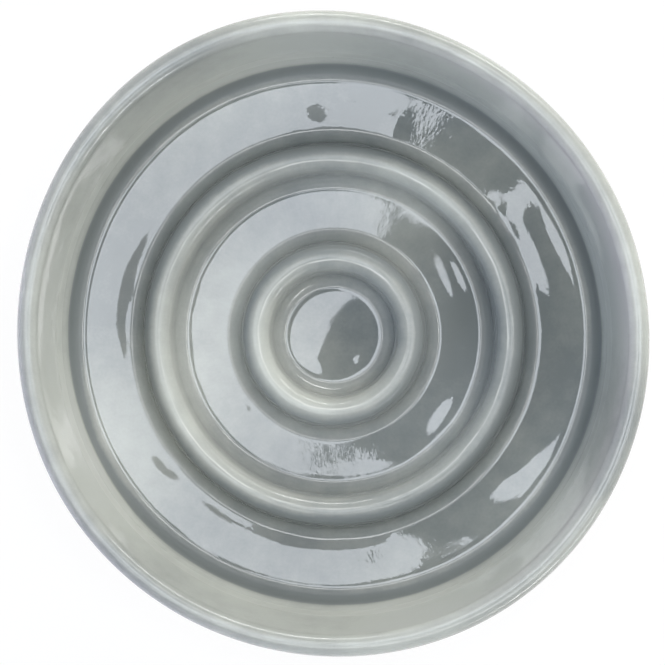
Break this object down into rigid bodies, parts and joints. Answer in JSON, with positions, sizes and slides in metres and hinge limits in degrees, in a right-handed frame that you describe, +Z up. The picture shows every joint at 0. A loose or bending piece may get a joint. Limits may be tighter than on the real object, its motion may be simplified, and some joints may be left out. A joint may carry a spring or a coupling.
{
  "type": "slow feeder bowl",
  "caption": "Round glazed stoneware pet bowl with concentric rings standing on its floor that slow eating, and a silicone anti-slip ring under its foot.",
  "frame": {"origin": "centre of the standing surface, on the bowl's axis", "axes": "+Z up along the bowl's axis; the bowl is the same all round, so +X is any direction across it"},
  "size_m": [0.23, 0.23, 0.052],
  "materials": {
    "stoneware": "matte",
    "glaze": "gloss",
    "silicone": "matte"
  },
  "bodies": {
    "root": {"stoneware_body": "stoneware", "glaze_coat": "glaze", "underside_glaze": "glaze", "anti_slip_ring": "silicone"}
  },
  "joints": []
}
